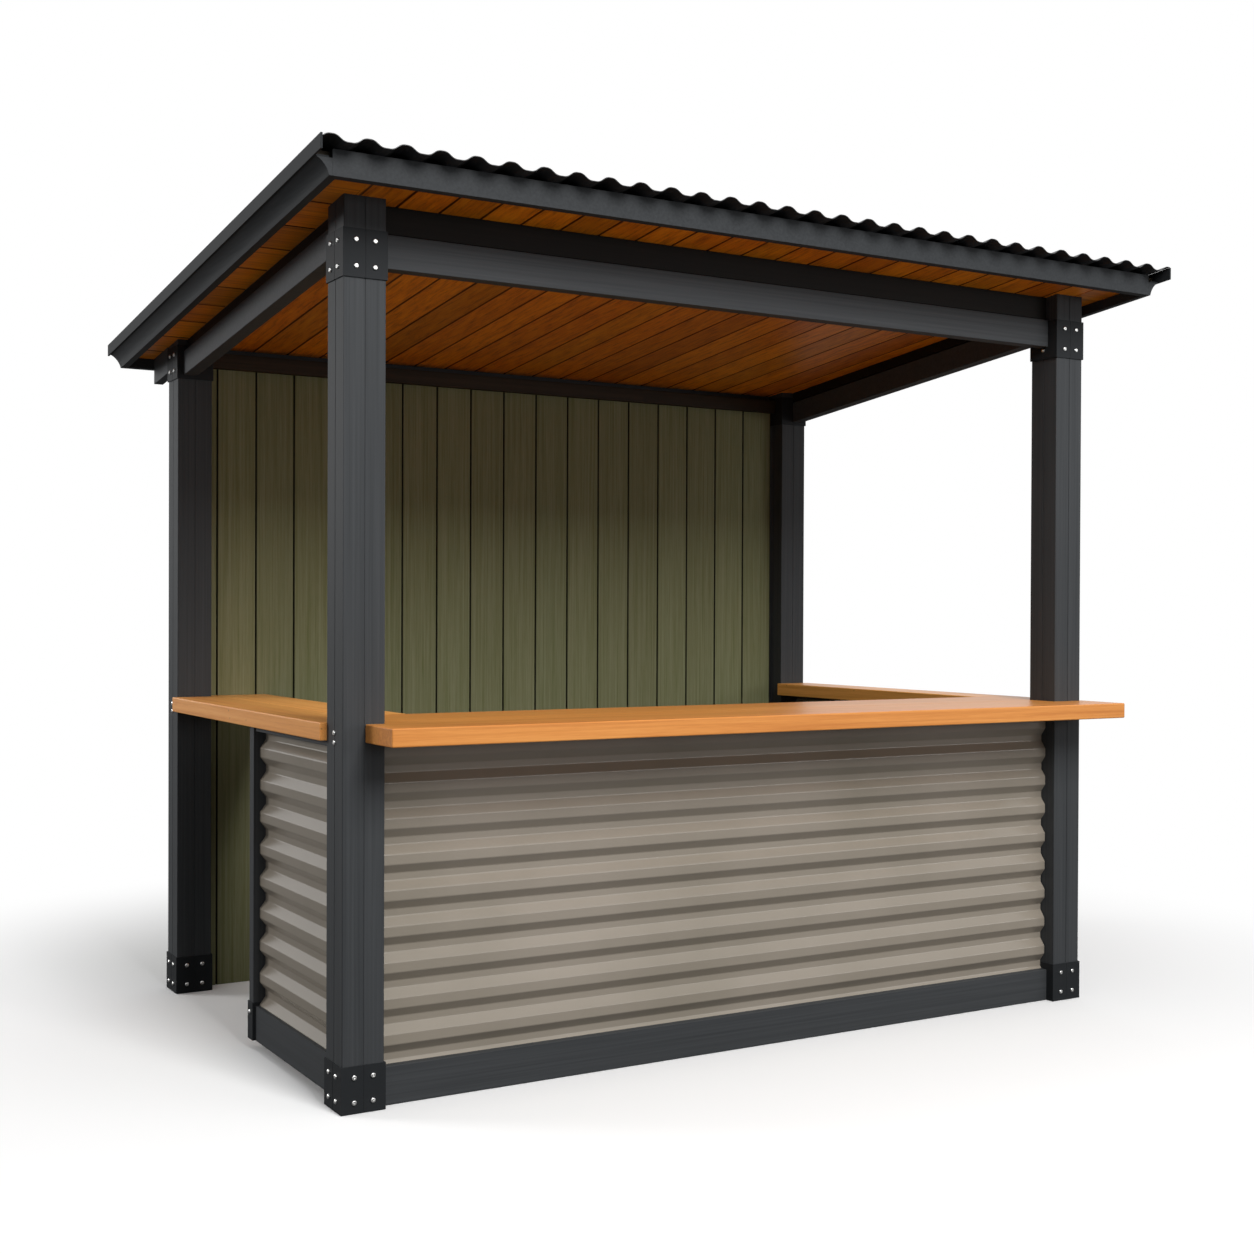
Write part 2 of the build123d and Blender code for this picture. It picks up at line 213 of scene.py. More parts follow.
class Grain(Enum):
    """The way a member's grain runs."""

    ALONG_X = 0
    ALONG_Y = 1
    ALONG_Z = 2

    def scale(self, across: float, along: float) -> Point:
        """Pattern scale on each axis, from the widths of a streak in metres.

        Args:
            across: width of one streak across the grain.
            along: length of one streak along it.

        Returns:
            How many streaks a metre holds on X, Y and Z.
        """
        values = [1 / across] * 3
        values[self.value] = 1 / along
        return (values[0], values[1], values[2])


@dataclass(frozen=True)
class PaintedTimber:
    """Laminated softwood under opaque satin paint: flat grey with fine lines along the grain."""

    name: str
    grain: Grain
    dark: str = "#37393B"
    light: str = "#444648"
    streak: float = 9 * MM
    streak_length: float = 900 * MM
    cloud: float = 650 * MM
    cloud_share: float = 0.2
    rough_low: float = 0.5
    rough_high: float = 0.64
    coat: Coat = Coat(0.15, 0.35 * MM)

    def build(self) -> Material:
        """Builds the material."""
        material, tree, coord = new_tree(self.name)
        scale = self.grain.scale(self.streak, self.streak_length)
        streaks = add_streaks(tree, coord, scale, {"Detail": 3.0, "Roughness": 0.6})
        soft = {"Vector": coord, "Scale": 1 / self.cloud, "Detail": 2.0}
        both = {0: self.cloud_share, 2: streaks, 3: add_node(tree, "TexNoise", soft)}
        tone = add_node(tree, "Mix", both, data_type="FLOAT")
        satin = {"Value": streaks, "To Min": self.rough_low, "To Max": self.rough_high}
        rough = add_node(tree, "MapRange", satin)
        self.coat.close(tree, add_tone(tree, tone, self.dark, self.light), rough, streaks)
        return material


@dataclass(frozen=True)
class CoatedSteel:
    """Steel under a baked coat: an even satin colour with a faint, fine orange peel."""

    name: str
    dark: str
    light: str
    roughness: float
    specular: float = 0.5
    relief: float = 0.05 * MM
    strength: float = 0.4
    ior: float = 1.5
    cloud: float = 400 * MM
    peel: float = 2.5 * MM
    rough_down: float = 0.02
    rough_up: float = 0.03

    def build(self) -> Material:
        """Builds the material."""
        material, tree, coord = new_tree(self.name)
        soft = {"Vector": coord, "Scale": 1 / self.cloud, "Detail": 4.0}
        clouds = add_node(tree, "TexNoise", soft)
        fine = {"Vector": coord, "Scale": 1 / self.peel, "Detail": 1.0}
        peel = add_node(tree, "TexNoise", fine)
        low = self.roughness - self.rough_down
        high = self.roughness + self.rough_up
        rough = add_node(tree, "MapRange", {"Value": clouds, "To Min": low, "To Max": high})
        coat = Coat(self.specular, self.relief, self.strength, self.ior)
        coat.close(tree, add_tone(tree, clouds, self.dark, self.light), rough, peel)
        return material


@dataclass(frozen=True)
class WoodBoards:
    """Timber whose boards differ a little in tone, with long streaks of grain and fine pores."""

    name: str
    grain: Grain
    across: Grain
    tones: tuple[str, str, str]
    board_width: float
    board_start: float = 0.0
    board_shift: float = 7.0
    stops: tuple[float, float, float] = (0.34, 0.5, 0.68)
    streak: float = 11 * MM
    streak_length: float = 700 * MM
    # Real pores are a few tenths of a millimetre wide, and are drawn coarser to show
    pore: float = 1.6 * MM
    pore_length: float = 60 * MM
    pore_share: float = 0.25
    tone_spread: float = 0.1
    hue_spread: float = 0.006
    rough_low: float = 0.4
    rough_high: float = 0.55
    coat: Coat = Coat()
    joint: float = 0.0
    joint_shade: float = 0.12
    joint_blur: float = 0.4
    knot_spacing: float = 0.0
    knot_size: float = 4 * MM
    knot_core: float = 0.3
    knot_strength: float = 0.65
    knot_tone: str = "#5A3012"

    def build(self) -> Material:
        """Builds the material."""
        material, tree, coord = new_tree(self.name)
        side = add_node(tree, "SeparateXYZ", {0: coord}).outputs[self.across.value]
        moved = add_node(tree, "Math", {0: side, 1: self.board_start}, operation="SUBTRACT")
        count = add_node(tree, "Math", {0: moved, 1: self.board_width}, operation="DIVIDE")
        board = add_node(tree, "Math", {0: count}, operation="FLOOR")
        chance = add_node(tree, "TexWhiteNoise", {"W": board}, noise_dimensions="1D")
        # Each board's figure is taken from another place in the wood
        shift = {0: chance.outputs["Color"], 1: (self.board_shift,) * 3, 2: coord}
        far = add_node(tree, "VectorMath", shift, operation="MULTIPLY_ADD")
        long_scale = self.grain.scale(self.streak, self.streak_length)
        long_values = {"Detail": 4.0, "Roughness": 0.6, "Distortion": 0.5}
        streaks = add_streaks(tree, far, long_scale, long_values)
        fine_scale = self.grain.scale(self.pore, self.pore_length)
        pores = add_streaks(tree, far, fine_scale, {"Detail": 2.0})
        both = {0: self.pore_share, 2: streaks, 3: pores}
        figure = add_node(tree, "Mix", both, data_type="FLOAT")
        colour = self.vary_boards(tree, chance, self.colour_figure(tree, figure))
        if self.knot_spacing:
            colour = self.add_knots(tree, coord, colour)
        if self.joint:
            colour = self.darken_joints(tree, count, colour)
        satin = {"Value": figure, "To Min": self.rough_high, "To Max": self.rough_low}
        self.coat.close(tree, colour, add_node(tree, "MapRange", satin), figure)
        return material

    def colour_figure(self, tree: Tree, figure: Node) -> Node:
        """Runs through the wood's three tones, the dark one where the figure is low.

        Args:
            tree: the material's tree.
            figure: streaks and pores together.

        Returns:
            The node with the colour.
        """
        ramp = add_node(tree, "ValToRGB", {0: figure})
        first, last = ramp.color_ramp.elements
        first.position, middle, last.position = self.stops
        first.color = to_linear(self.tones[0])
        last.color = to_linear(self.tones[2])
        ramp.color_ramp.elements.new(middle).color = to_linear(self.tones[1])
        return ramp

    def vary_boards(self, tree: Tree, chance: Node, colour: Node) -> Node:
        """Makes each board a little lighter, darker, redder or yellower than the next.

        Args:
            tree: the material's tree.
            chance: the node that holds each board's own number and colour.
            colour: the wood's colour.

        Returns:
            The colour, board by board.
        """
        parts = add_node(tree, "SeparateColor", {0: chance.outputs["Color"]})
        toned: dict[str, Any] = {"Color": colour}
        for name, source, middle, spread in (
            ("Value", chance.outputs["Value"], 1.0, self.tone_spread),
            ("Hue", parts.outputs[1], 0.5, self.hue_spread),
        ):
            span = {"Value": source, "To Min": middle - spread, "To Max": middle + spread}
            toned[name] = add_node(tree, "MapRange", span)
        return add_node(tree, "HueSaturation", toned)

    def darken_joints(self, tree: Tree, count: Node, colour: Source) -> Node:
        """Darkens the grooves between the boards: partly the stain and dust that gather there,
        partly painted shade in the grooves.

        Args:
            tree: the material's tree.
            count: the place across the boards, in boards.
            colour: the wood's colour.

        Returns:
            The colour with dark grooves.
        """
        edge = self.joint / self.board_width
        span = {
            "Value": add_node(tree, "Math", {0: count, 1: 0.5}, operation="PINGPONG"),
            "From Min": edge * (1 - self.joint_blur),
            "From Max": edge * (1 + self.joint_blur),
            "To Min": self.joint_shade,
            "To Max": 1.0,
        }
        shade = add_node(tree, "MapRange", span, interpolation_type="SMOOTHSTEP")
        return add_node(tree, "HueSaturation", {"Value": shade, "Color": colour})

    def add_knots(self, tree: Tree, coord: Socket, colour: Node) -> Socket:
        """Adds small dark pin knots, far apart.

        Args:
            tree: the material's tree.
            coord: the object's coordinates.
            colour: the wood's colour without knots.

        Returns:
            The colour with knots.
        """
        cells = {"Vector": coord, "Scale": 1 / self.knot_spacing, "Randomness": 1.0}
        edge = self.knot_size / self.knot_spacing
        span = {
            "Value": add_node(tree, "TexVoronoi", cells).outputs["Distance"],
            "From Min": edge * self.knot_core,
            "From Max": edge,
            "To Min": self.knot_strength,
            "To Max": 0.0,
        }
        mask = add_node(tree, "MapRange", span, interpolation_type="SMOOTHSTEP")
        knotted = {0: mask, 6: colour, 7: to_linear(self.knot_tone)}
        return add_node(tree, "Mix", knotted, data_type="RGBA").outputs[2]


@dataclass(frozen=True)
class PlatedScrew:
    """Bright zinc plate: pale metal that mirrors the studio softly."""

    name: str = "bright_zinc_plate"
    dark: str = "#D8D8D6"
    light: str = "#F4F4F2"
    # Real plating is finer grained than this, which is as coarse as it needs to show
    grit: float = 1.5 * MM
    roughness: float = 0.28

    def build(self) -> Material:
        """Builds the material."""
        material, tree, coord = new_tree(self.name)
        grit = add_node(tree, "TexNoise", {"Vector": coord, "Scale": 1 / self.grit})
        tones = {0: grit, 6: to_linear(self.dark), 7: to_linear(self.light)}
        colour = add_node(tree, "Mix", tones, data_type="RGBA").outputs[2]
        plate = {"Base Color": colour, "Metallic": 1.0, "Roughness": self.roughness}
        add_node(tree, "OutputMaterial", {0: add_node(tree, "BsdfPrincipled", plate)})
        return material


# Hand tools: each works on one piece by Blender's own operators


def deselect_all() -> None:
    """Leaves nothing selected."""
    bpy.ops.object.select_all(action="DESELECT")


def focus(piece: Piece) -> None:
    """Selects one piece alone and makes it the active one."""
    deselect_all()
    piece.select_set(True)
    bpy.context.view_layer.objects.active = piece


def settle(piece: Piece) -> None:
    """Moves the piece's place, turn and size into its mesh."""
    focus(piece)
    bpy.ops.object.transform_apply(location=True, rotation=True, scale=True)


def add_block(name: str, low: Sequence[float], high: Sequence[float]) -> Piece:
    """Adds a block between two corners, with its place in its mesh.

    Args:
        name: the piece's name.
        low: its lowest corner in metres.
        high: its highest corner in metres.

    Returns:
        The block.
    """
    deselect_all()
    middle = [(a + b) / 2 for a, b in zip(low, high)]
    size = [b - a for a, b in zip(low, high)]
    bpy.ops.mesh.primitive_cube_add(size=1.0, location=middle, scale=size)
    piece = bpy.context.active_object
    piece.name = name
    settle(piece)
    return piece


def add_strip(name: str, middle: Point, width: float, length: float, turn: Point) -> Piece:
    """Adds one flat strip of sheet, with its place in its mesh.

    Args:
        name: the piece's name.
        middle: the middle of the strip in metres.
        width: its size on its own X.
        length: its size on its own Y.
        turn: how it turns, in radians.

    Returns:
        The strip.
    """
    deselect_all()
    bpy.ops.mesh.primitive_plane_add(size=1.0, location=middle)
    piece = bpy.context.active_object
    piece.name = name
    piece.rotation_euler = turn
    piece.scale = (width, length, 1.0)
    settle(piece)
    return piece


def start_editing(piece: Piece, kind: str) -> None:
    """Opens the piece in edit mode with nothing selected.

    Args:
        piece: the piece to open.
        kind: VERT, EDGE or FACE, which is what will be selected.
    """
    focus(piece)
    bpy.ops.object.mode_set(mode="EDIT")
    bpy.ops.mesh.select_mode(type=kind)
    bpy.ops.mesh.select_all(action="DESELECT")


def stop_editing() -> None:
    """Goes back to object mode."""
    bpy.ops.object.mode_set(mode="OBJECT")


def pick(piece: Piece, kind: str, test: Callable[[Any], bool]) -> None:
    """Selects what passes a test, and only that, in edit mode.

    Args:
        piece: the piece that is open.
        kind: edges or faces.
        test: tells which of them are wanted.
    """
    shape = bmesh.from_edit_mesh(piece.data)
    shape.normal_update()
    for part in getattr(shape, kind):
        part.select_set(test(part))
    bmesh.update_edit_mesh(piece.data)


def middle_of(edge: Any) -> Vector:
    """The middle of an edge."""
    return (edge.verts[0].co + edge.verts[1].co) / 2


def run_of(edge: Any) -> Vector:
    """How far an edge runs on each axis."""
    start, end = (vertex.co for vertex in edge.verts)
    return Vector((abs(end.x - start.x), abs(end.y - start.y), abs(end.z - start.z)))


def apply_modifier(piece: Piece, kind: str, **settings: Any) -> None:
    """Adds a modifier to the piece and applies it at once.

    Args:
        piece: the piece to change.
        kind: Blender's name for the modifier.
        settings: the modifier's properties.
    """
    focus(piece)
    modifier = piece.modifiers.new(kind.lower(), kind)
    for name, value in settings.items():
        setattr(modifier, name, value)
    bpy.ops.object.modifier_apply(modifier=modifier.name)


def ease_edges(piece: Piece, width: float, segments: int = 2) -> None:
    """Rounds every sharp edge of the piece.

    Args:
        piece: the piece to round.
        width: how far the rounding reaches on each side of an edge.
        segments: facets across the rounding.
    """
    apply_modifier(
        piece,
        "BEVEL",
        width=width,
        segments=segments,
        limit_method="ANGLE",
        angle_limit=SHARP_ANGLE,
    )


def cut_away(piece: Piece, low: Sequence[float], high: Sequence[float]) -> None:
    """Cuts a block out of the piece.

    Args:
        piece: the piece to cut.
        low: the block's lowest corner.
        high: its highest corner.
    """
    cutter = add_block("cutter", low, high)
    apply_modifier(piece, "BOOLEAN", operation="DIFFERENCE", object=cutter, solver="EXACT")
    bpy.data.objects.remove(cutter)


def copy_piece(
    piece: Piece, name: str, place: Sequence[float], turn: Sequence[float] = (0, 0, 0)
) -> Piece:
    """Copies a piece with its own mesh and sets the copy in place.

    Args:
        piece: the piece to copy.
        name: the copy's name.
        place: how far the copy moves, in metres.
        turn: how it turns about its own origin first, in radians.

    Returns:
        The copy, with its place in its mesh.
    """
    twin = piece.copy()
    twin.data = piece.data.copy()
    twin.name = name
    bpy.context.scene.collection.objects.link(twin)
    twin.location = place
    twin.rotation_euler = turn
    settle(twin)
    return twin


def join_pieces(pieces: Sequence[Piece], name: str) -> Piece:
    """Joins pieces into one.

    Args:
        pieces: the pieces, which all end in the first.
        name: the joined piece's name.

    Returns:
        The joined piece.
    """
    deselect_all()
    for piece in pieces:
        piece.select_set(True)
    bpy.context.view_layer.objects.active = pieces[0]
    if len(pieces) > 1:
        bpy.ops.object.join()
    pieces[0].name = name
    return pieces[0]


def smooth(piece: Piece) -> None:
    """Shades the piece smooth but for its creases, with its flat faces left flat."""
    focus(piece)
    bpy.ops.object.shade_smooth_by_angle(angle=SOFT_ANGLE)
    apply_modifier(piece, "WEIGHTED_NORMAL", keep_sharp=True, weight=80)


def finish_piece(piece: Piece, material: Material, nodes: Sequence[str] = ()) -> None:
    """Dresses a piece and ties it to the model.

    Args:
        piece: the finished piece.
        material: its material.
        nodes: the CAD nodes that it stands for.
    """
    piece.data.materials.clear()
    piece.data.materials.append(material)
    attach(piece, BODY)
    if nodes:
        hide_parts(*nodes)
    LOG.info("%s: %d faces", piece.name, len(piece.data.polygons))


def dress_node(node: str, material: Material, arris: float) -> None:
    """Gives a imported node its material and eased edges.

    Args:
        node: the node's name.
        material: its material.
        arris: width of the eased edge.
    """
    solid = bpy.data.objects[node]
    solid.data.materials.clear()
    solid.data.materials.append(material)
    weld = solid.modifiers.new("weld", "WELD")
    weld.merge_threshold = WELD_REACH
    bevel = solid.modifiers.new("arris", "BEVEL")
    bevel.width = arris
    bevel.segments = 2
    bevel.limit_method = "ANGLE"
    bevel.angle_limit = SHARP_ANGLE
    LOG.info("%s dressed", node)


# Sub-assemblies


@dataclass
class Slope:
    """The ceiling's slope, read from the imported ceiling."""

    thickness: float = 18 * MM
    front: float = 0.0
    rear: float = 0.0
    front_height: float = 0.0
    fall: float = 0.0

    def read(self) -> "Slope":
        """Reads the slope from the ceiling's box."""
        low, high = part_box("ceiling")
        self.front = low.y
        self.rear = high.y
        self.front_height = high.z - self.thickness
        self.fall = (self.front_height - low.z) / (high.y - low.y)
        return self

    def at(self, y: float) -> float:
        """Height of the ceiling's underside at y."""
        return self.front_height - self.fall * (y - self.front)

    def angle(self) -> float:
        """The slope's angle in radians."""
        return math.atan(self.fall)


@dataclass
class Wave:
    """One wave of a corrugated sheet."""

    pitch: float
    crest: float
    trough: float
    depth: float
    radius: float
    segments: int
    thickness: float = 2 * MM

    def steps(self, count: int) -> list[tuple[float, float]]:
        """The folds of a run of waves, each as a step along and a step up.

        Args:
            count: how many waves, from the middle of one crest to the middle of another.

        Returns:
            Steps that follow the first half crest.
        """
        flank = (self.pitch - self.crest - self.trough) / 2
        found = []
        for index in range(count):
            last = self.crest / 2 if index == count - 1 else self.crest
            found += [(flank, -self.depth), (self.trough, 0.0), (flank, self.depth), (last, 0.0)]
        return found

    def fold(
        self, strip: Piece, way: Vector, up: Vector, start: float, span: tuple[float, float]
    ) -> None:
        """Folds a sheet on from a strip that is its first half crest, and trims both its ends.

        Args:
            strip: the strip, open in edit mode.
            way: the way that the waves follow one another.
            up: the way that the crests stand.
            start: where the strip starts along that way.
            span: where the finished sheet starts and ends.
        """
        tip = start + self.crest / 2
        low, high = span
        pick(strip, "edges", lambda edge: middle_of(edge).dot(way) > tip - TINY)
        for along, out in self.steps(math.ceil((high - start) / self.pitch)):
            step = way * along + up * out
            bpy.ops.mesh.extrude_region_move(TRANSFORM_OT_translate={"value": step})
        for plane, keep in ((low, way), (high, -way)):
            bpy.ops.mesh.select_all(action="SELECT")
            bpy.ops.mesh.bisect(plane_co=way * plane, plane_no=keep, clear_inner=True)
        self.round_folds(strip, way.cross(up))

    def round_folds(self, sheet: Piece, along: Vector) -> None:
        """Rounds the folds of the sheet and gives it its thickness.

        Args:
            sheet: the folded sheet, in edit mode.
            along: the way that the folds run.
        """
        flank = (self.pitch - self.crest - self.trough) / 2
        angle = math.atan2(self.depth, flank)
        way = Vector([abs(value) for value in along])
        pick(
            sheet, "edges", lambda edge: run_of(edge).dot(way) > self.pitch and not edge.is_boundary
        )
        reach = self.radius * math.tan(angle / 2)
        bpy.ops.mesh.bevel(offset=reach, segments=self.segments, affect="EDGES")
        stop_editing()
        apply_modifier(sheet, "SOLIDIFY", thickness=self.thickness, offset=-1.0)
        smooth(sheet)


@dataclass
class TimberFrame:
    """Posts, beams, rails and fascias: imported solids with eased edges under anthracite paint."""

    crosswise: Sequence[str] = ("front_base_rail", "rear_beam", "wall_rails")
    lengthwise: Sequence[str] = ("left_base_rail", "right_base_rail", "counter_rails")
    beams: Sequence[str] = ("front_beam", "left_beam", "right_beam", "tail_beams")
    fascias: Sequence[str] = ("front_fascia", "rear_fascia", "left_fascia", "right_fascia")
    headers: Sequence[str] = ("front_header", "side_headers")
    arris: float = 1.6 * MM
    fascia_arris: float = 0.3 * MM

    def dress(self) -> None:
        """Paints each group of members, most of them along their own grain."""
        upright = PaintedTimber("anthracite_painted_timber_upright", Grain.ALONG_Z)
        crosswise = PaintedTimber("anthracite_painted_timber_crosswise", Grain.ALONG_X)
        lengthwise = PaintedTimber("anthracite_painted_timber_endwise", Grain.ALONG_Y)
        # Beam paint is lighter, as painted light on the beams, and header paint near black, as
        # painted shade under the ceiling
        beam_paint_lightened_as_painted_light = PaintedTimber("anthracite_paint_lightened_as_painted_light", Grain.ALONG_X, "#3E4042", "#4C4E50")
        header = PaintedTimber("anthracite_painted_header", Grain.ALONG_X, "#161412", "#1E1B18")
        # Fascia paint is darker, as painted shade under the overhang of the roof sheet
        fascia_paint_darkened_as_painted_shade = PaintedTimber("anthracite_fascia_paint_darkened_as_painted_shade", Grain.ALONG_Y, "#2E3032", "#3A3C3E")
        posts = [f"{end}_{side}_post" for end in ENDS for side in SIDES]
        groups = (
            ((*posts, "entrance_post"), upright, self.arris),
            (self.crosswise, crosswise, self.arris),
            (self.lengthwise, lengthwise, self.arris),
            (self.beams, beam_paint_lightened_as_painted_light, self.arris),
            (self.headers, header, self.arris),
            (self.fascias, fascia_paint_darkened_as_painted_shade, self.fascia_arris),
        )
        for nodes, finish, arris in groups:
            material = finish.build()
            for node in nodes:
                dress_node(node, material, arris)


@dataclass
class BoardCut:
    """The section of a tongued board: eased front edges and a tongue that closes the joint."""

    thickness: float
    gap: float
    chamfer: float
    face_share: float = 0.7
    shortfall: float = 0.1 * MM

    def build(self, name: str, length: float, width: float) -> Piece:
        """Models one board that stands on Z and faces -Y, from X 0 to its width.

        Args:
            name: the board's name.
            length: its length along Z.
            width: the pitch that it covers.

        Returns:
            The board.
        """
        deep = self.thickness * self.face_share
        board = add_block(name, (0, 0, 0), (width - self.gap, self.thickness, length))
        start_editing(board, "FACE")
        bpy.ops.mesh.select_all(action="SELECT")
        bpy.ops.mesh.bisect(plane_co=(0, deep, 0), plane_no=(0, 1, 0))
        pick(
            board,
            "faces",
            lambda face: face.normal.x > FACING and face.calc_center_median().y > deep,
        )
        bpy.ops.mesh.extrude_region_move(TRANSFORM_OT_translate={"value": (self.gap, 0, 0)})
        bpy.ops.mesh.select_mode(type="EDGE")
        sides = (0.0, width - self.gap)
        pick(
            board,
            "edges",
            lambda edge: run_of(edge).z > length / 2
            and middle_of(edge).y < TINY
            and min(abs(middle_of(edge).x - side) for side in sides) < TINY,
        )
        bpy.ops.mesh.bevel(offset=self.chamfer, segments=1, affect="EDGES")
        stop_editing()
        return board

    def row(
        self,
        name: str,
        length: float,
        pitch: float,
        joints: Sequence[float],
        foot: tuple[float, float],
        turn: Sequence[float] = (0, 0, 0),
    ) -> Piece:
        """Lays boards side by side along X, with the first and last cut to fit.

        Args:
            name: the joined boards' name.
            length: their length.
            pitch: a whole board's width.
            joints: where boards start and end.
            foot: the Y and Z of their feet.
            turn: how each turns about its foot, in radians.

        Returns:
            The boards as one piece.
        """
        whole = self.build("board_model", length, pitch)
        boards = []
        for index, (start, end) in enumerate(zip(joints, joints[1:])):
            title = f"{name}_{index}"
            if abs(end - start - pitch) < self.shortfall:
                boards.append(copy_piece(whole, title, (start, *foot), turn))
            else:
                cut = self.build(f"{title}_cut", length, end - start)
                boards.append(copy_piece(cut, title, (start, *foot), turn))
                bpy.data.objects.remove(cut)
        bpy.data.objects.remove(whole)
        return join_pieces(boards, name)


def find_joints(start: float, first: float, pitch: float, end: float, least: float) -> list[float]:
    """Finds where the boards of a row start and end.

    Args:
        start: the row's first edge.
        first: its first joint.
        pitch: from one joint to the next.
        end: the row's last edge.
        least: the narrowest board that may end the row.

    Returns:
        Both edges and every joint between them.
    """
    joints = [start]
    at = first
    while at < end - least:
        joints.append(at)
        at += pitch
    return joints + [end]


@dataclass
class BackWall:
    """Upright boards between the rear posts, with a dark trim under the ceiling."""

    top: float = 2388 * MM
    first_joint: float = -1266 * MM
    pitch: float = 150.9 * MM
    trim_arris: float = 1.5 * MM
    trim_board: float = 2600 * MM
    trim_joint: float = -2000 * MM
    cut: BoardCut = field(default_factory=lambda: BoardCut(20 * MM, 4 * MM, 2 * MM))

    def build(self) -> None:
        """Builds the boards and dresses the trim."""
        low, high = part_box("back_wall")
        joints = find_joints(low.x, self.first_joint, self.pitch, high.x, self.pitch)
        foot = (low.y, low.z)
        boards = self.cut.row("back_wall_boards", self.top - low.z, self.pitch, joints, foot)
        # Semi-opaque olive stain on spruce: grey green with darker lines up the board
        stain = WoodBoards(
            "olive_stained_spruce",
            Grain.ALONG_Z,
            Grain.ALONG_X,
            ("#686A46", "#757656", "#828264"),
            self.pitch,
            self.first_joint,
            streak=8 * MM,
            streak_length=600 * MM,
            tone_spread=0.05,
            rough_low=0.55,
            rough_high=0.7,
            coat=Coat(0.15),
            joint=3 * MM,
        )
        finish_piece(boards, stain.build(), ["back_wall"])
        # Walnut-brown stain on softwood, darkened further to almost black as painted shade under
        # the ceiling
        trim_stain_darkened_as_painted_shade = WoodBoards(
            "brown_stain_darkened_as_painted_shade",
            Grain.ALONG_X,
            Grain.ALONG_X,
            ("#1E1608", "#281C0A", "#322410"),
            self.trim_board,
            self.trim_joint,
            rough_low=0.5,
            rough_high=0.65,
            coat=Coat(0.25),
        )
        dress_node("wall_trim", trim_stain_darkened_as_painted_shade.build(), self.trim_arris)


@dataclass
class Ceiling:
    """Stained boards under the roof, lengthwise inside and crosswise under the side eaves."""

    slope: Slope
    first_joint: float = -1255 * MM
    pitch: float = 134 * MM
    eave_first_joint: float = -806.5 * MM
    eave_pitch: float = 225 * MM
    end_gap: float = 2 * MM
    least_board: float = 40 * MM
    cut: BoardCut = field(default_factory=lambda: BoardCut(17.5 * MM, 3 * MM, 3 * MM))

    def build(self) -> None:
        """Builds the ceiling and both soffits."""
        # Red-brown stain on pine: warm, streaked, and glossier than the wall
        stain = WoodBoards(
            "stained_pine_ceiling",
            Grain.ALONG_Y,
            Grain.ALONG_X,
            ("#A45A0A", "#DC8010", "#F09A1C"),
            self.pitch,
            self.first_joint,
            streak=12 * MM,
            tone_spread=0.2,
            rough_low=0.3,
            rough_high=0.4,
            joint=3.5 * MM,
        )
        crosswise = replace(
            stain,
            name="stained_pine_soffit",
            grain=Grain.ALONG_X,
            across=Grain.ALONG_Y,
            board_width=self.eave_pitch,
            board_start=self.eave_first_joint,
            joint=4.5 * MM,
        )
        finish_piece(self.inside(), stain.build(), ["ceiling"])
        soffit = crosswise.build()
        for side in SIDES:
            finish_piece(self.eave(side), soffit, [f"{side}_soffit"])

    def inside(self) -> Piece:
        """Boards from the front fascia to the rear one."""
        low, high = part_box("ceiling")
        joints = find_joints(low.x, self.first_joint, self.pitch, high.x, self.least_board)
        run = self.slope.rear - self.slope.front - 2 * self.end_gap
        rear = self.slope.rear - self.end_gap
        return self.cut.row(
            "ceiling_boards",
            run / math.cos(self.slope.angle()),
            self.pitch,
            joints,
            (rear, self.slope.at(rear)),
            (QUARTER - self.slope.angle(), 0, 0),
        )

    def eave(self, side: str) -> Piece:
        """Short boards across one side eave.

        Args:
            side: left or right.

        Returns:
            The soffit's boards as one piece.
        """
        low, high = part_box(f"{side}_soffit")
        joints = find_joints(
            low.y + self.end_gap,
            self.eave_first_joint,
            self.eave_pitch,
            high.y - self.end_gap,
            self.least_board,
        )
        boards = []
        for index, (start, end) in enumerate(zip(joints, joints[1:])):
            width = (end - start) / math.cos(self.slope.angle())
            board = self.cut.build(f"{side}_eave_{index}", high.x - low.x, width)
            # Stand the board's length along X and its face down, then lay it on the slope
            board.rotation_euler = (QUARTER, 0, QUARTER)
            settle(board)
            board.rotation_euler = (-self.slope.angle(), 0, 0)
            board.location = (low.x, start, self.slope.at(start))
            settle(board)
            boards.append(board)
        return join_pieces(boards, f"{side}_soffit_boards")


